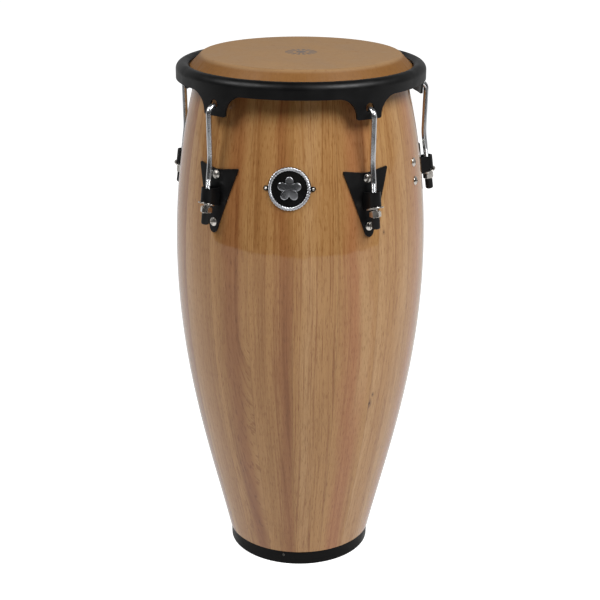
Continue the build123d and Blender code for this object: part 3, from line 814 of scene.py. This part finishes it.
def rosette():
    """A plain raised flower: its edge is root + length * |cos(petals / 2 * a)| ^ 0.8, its top domed."""
    a = np.arange(240) * 2 * pi / 240
    edge = PETAL_ROOT + PETAL_LENGTH * np.abs(np.cos(PETALS / 2 * (a - pi / 2))) ** 0.8
    share = np.concatenate([np.linspace(0, 0.94, 18), [1.0, 1.0], np.linspace(0.9, 0, 6)])
    crest = PLATE + 0.0007 - 0.0003 * share**2
    proud = np.where(np.arange(len(share)) < 19, crest, PLATE - 0.0003)
    rho = share[:, None] * edge
    return on_badge(rho * np.cos(a), rho * np.sin(a), np.repeat(proud[:, None], len(a), 1))


badge_face = piece_from_grid("badge_face", pressed_plate(), badge_enamel, round_columns=True)
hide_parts("badge_plate")
for name, points, rows in (("badge_rope", rope_border(), True), ("badge_rosette", rosette(), False)):
    trim = piece_from_grid(name, points, badge_nickel, round_rows=rows, round_columns=True)
    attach(trim, "shell")
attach(badge_face, "shell")


# ---------------------------------------------------------------- finishes of the other CAD nodes

FINISHES = {
    black_paint: ["rim"] + [f"lug_plate_{n}" for n in LUGS],
    dull_steel: ["foot_tacks"],
    bright_nickel: ["lug_bolts", "side_bolts", "badge_nails"]
    + [f"tuning_{kind}_{n}" for kind in ("washer", "nut") for n in LUGS],
    zinc_plate: ["lug_bolt_washers", "lug_bolt_nuts", "side_bolt_washers", "side_bolt_nuts"],
    hoop_steel: ["flesh_hoop"],
    cap_rubber: [f"rod_cap_{n}" for n in LUGS],
    foot_rubber: ["foot_ring"],
    rod_chrome: [f"tuning_hook_{n}" for n in LUGS],
    badge_enamel: ["badge_plate"],
    hide: ["drumhead_skin"],
}
for finish, names in FINISHES.items():
    for name in names:
        finish_node(name, finish)


# ---------------------------------------------------------------- floor, light and camera

def floor_finish():
    """A pale floor, lit from within: white to look at, and dimmer where the drum mirrors it."""

    def build(tree):
        tone = tree.noise(tree.place(), 3.0, 3.0)
        seen = tree.put("LightPath", out="Is Camera Ray")
        return {
            "Base Color": tree.mix(tone, grey(0.42), grey(0.46)),
            "Roughness": tree.span(tone, 0.3, 0.7, 0.55, 0.65),
            "Emission Color": tree.mix(seen, grey(0.46), grey(1.0)),
        }

    return finish_called("pale_floor", build, Emission_Strength=1.0)


FLOOR_FRONT, FLOOR_BACK = 2.22, 11.22  # how far it reaches
FLOOR_WIDENS = (75, 110)  # azimuths, in degrees to either side, between which it goes from one to the other


def floor_reach(azimuth):
    """How far the floor reaches: to a dark room's edge at the front, and much further beside and behind.

    Between the two it is front + (back - front) * (3 t^2 - 2 t^3), t going from 0 to 1.
    """
    start, end = FLOOR_WIDENS
    t = np.clip((np.abs(np.degrees(azimuth)) - start) / (end - start), 0, 1)
    return FLOOR_FRONT + (FLOOR_BACK - FLOOR_FRONT) * t**2 * (3 - 2 * t)


rings = np.array([0.0, 0.3, 0.6, 0.8, 0.9, 1.0])[:, None]  # shares of its reach
round_floor = np.linspace(-pi, pi, 145)[:-1]
reach = rings * floor_reach(round_floor)
floor_x, floor_y = reach * np.sin(round_floor), -reach * np.cos(round_floor)
floor_points = np.stack([floor_x, floor_y, np.zeros_like(reach)], -1)
floor = piece_from_grid("studio_floor", floor_points, floor_finish(), round_columns=True)
if floor.data.polygons[0].normal.z < 0:
    floor.data.flip_normals()


LIGHT_DISTANCE = 2.2  # from the drum's axis
LIGHT_HEIGHT = 2.7
LIGHT_SIZE = 1.4
LIGHT_AIM = Vector((0, 0, 0.42))  # the point they look at


def soft_light(name, azimuth, power):
    """A square soft light at an azimuth in degrees, its power in watts."""
    data = bpy.data.lights.new(name, "AREA")
    data.shape, data.size, data.energy = "SQUARE", LIGHT_SIZE, power
    light = bpy.data.objects.new(name, data)
    a = radians(azimuth)
    light.location = (LIGHT_DISTANCE * sin(a), -LIGHT_DISTANCE * cos(a), LIGHT_HEIGHT)
    light.rotation_euler = (LIGHT_AIM - light.location).to_track_quat("-Z", "Y").to_euler()
    bpy.context.scene.collection.objects.link(light)


soft_light("key_right", azimuth=54, power=92)
soft_light("fill_left", azimuth=-58, power=56)

WALLS_FROM, WALLS_TO = -0.15, 0.7  # how far a direction points to the back, where they come up to full
WALLS_TOP, WALLS_END = 0.35, 0.75  # how far it points up, where they fade
WALL_LIGHT, ROOM_LIGHT = 0.42, 0.012  # the strength of the walls, and of the darkest part
OVERHEAD = 0.15  # share of the walls' light that is left overhead

world = bpy.data.worlds.new("studio")
bpy.context.scene.world = world
world.use_nodes = True
sky = Tree(world.node_tree)
direction = sky.put("TexCoord", out="Generated")
_, towards_back, up = sky.split(direction)
# bright walls beside and behind the drum, a dark room at the front and overhead, and pure white to look at
back_wall = sky.span(towards_back, WALLS_FROM, WALLS_TO, 0.0, WALL_LIGHT)
wall = sky.math("MULTIPLY", back_wall, sky.span(up, WALLS_TOP, WALLS_END, 1.0, OVERHEAD))
wall = sky.math("MAXIMUM", wall, ROOM_LIGHT)
seen = sky.put("LightPath", out="Is Camera Ray")
strength = sky.math("MAXIMUM", wall, seen)
background = world.node_tree.nodes["Background"]
background.inputs["Color"].default_value = (1.0, 1.0, 1.0, 1.0)
world.node_tree.links.new(strength, background.inputs["Strength"])
bpy.context.scene.view_settings.view_transform = "Standard"

CAMERA_AZIMUTH = radians(4.9)
CAMERA_DISTANCE = 1.81157
CAMERA_HEIGHT = 1.01489
CAMERA_PITCH = 0.345  # radians below level
CAMERA_ROLL = 0.0043  # radians
CAMERA_LENS = 82.39
SENSOR_WIDTH = 36.0
camera = bpy.data.objects.new("camera", bpy.data.cameras.new("camera"))
camera.data.lens = CAMERA_LENS
camera.data.sensor_width = SENSOR_WIDTH
camera_x, camera_y = CAMERA_DISTANCE * sin(CAMERA_AZIMUTH), -CAMERA_DISTANCE * cos(CAMERA_AZIMUTH)
camera.location = (camera_x, camera_y, CAMERA_HEIGHT)
aim = Matrix.Rotation(CAMERA_AZIMUTH, 3, "Z") @ Matrix.Rotation(pi / 2 - CAMERA_PITCH, 3, "X")
camera.rotation_euler = (aim @ Matrix.Rotation(CAMERA_ROLL, 3, "Z")).to_euler()
bpy.context.scene.collection.objects.link(camera)
bpy.context.scene.camera = camera
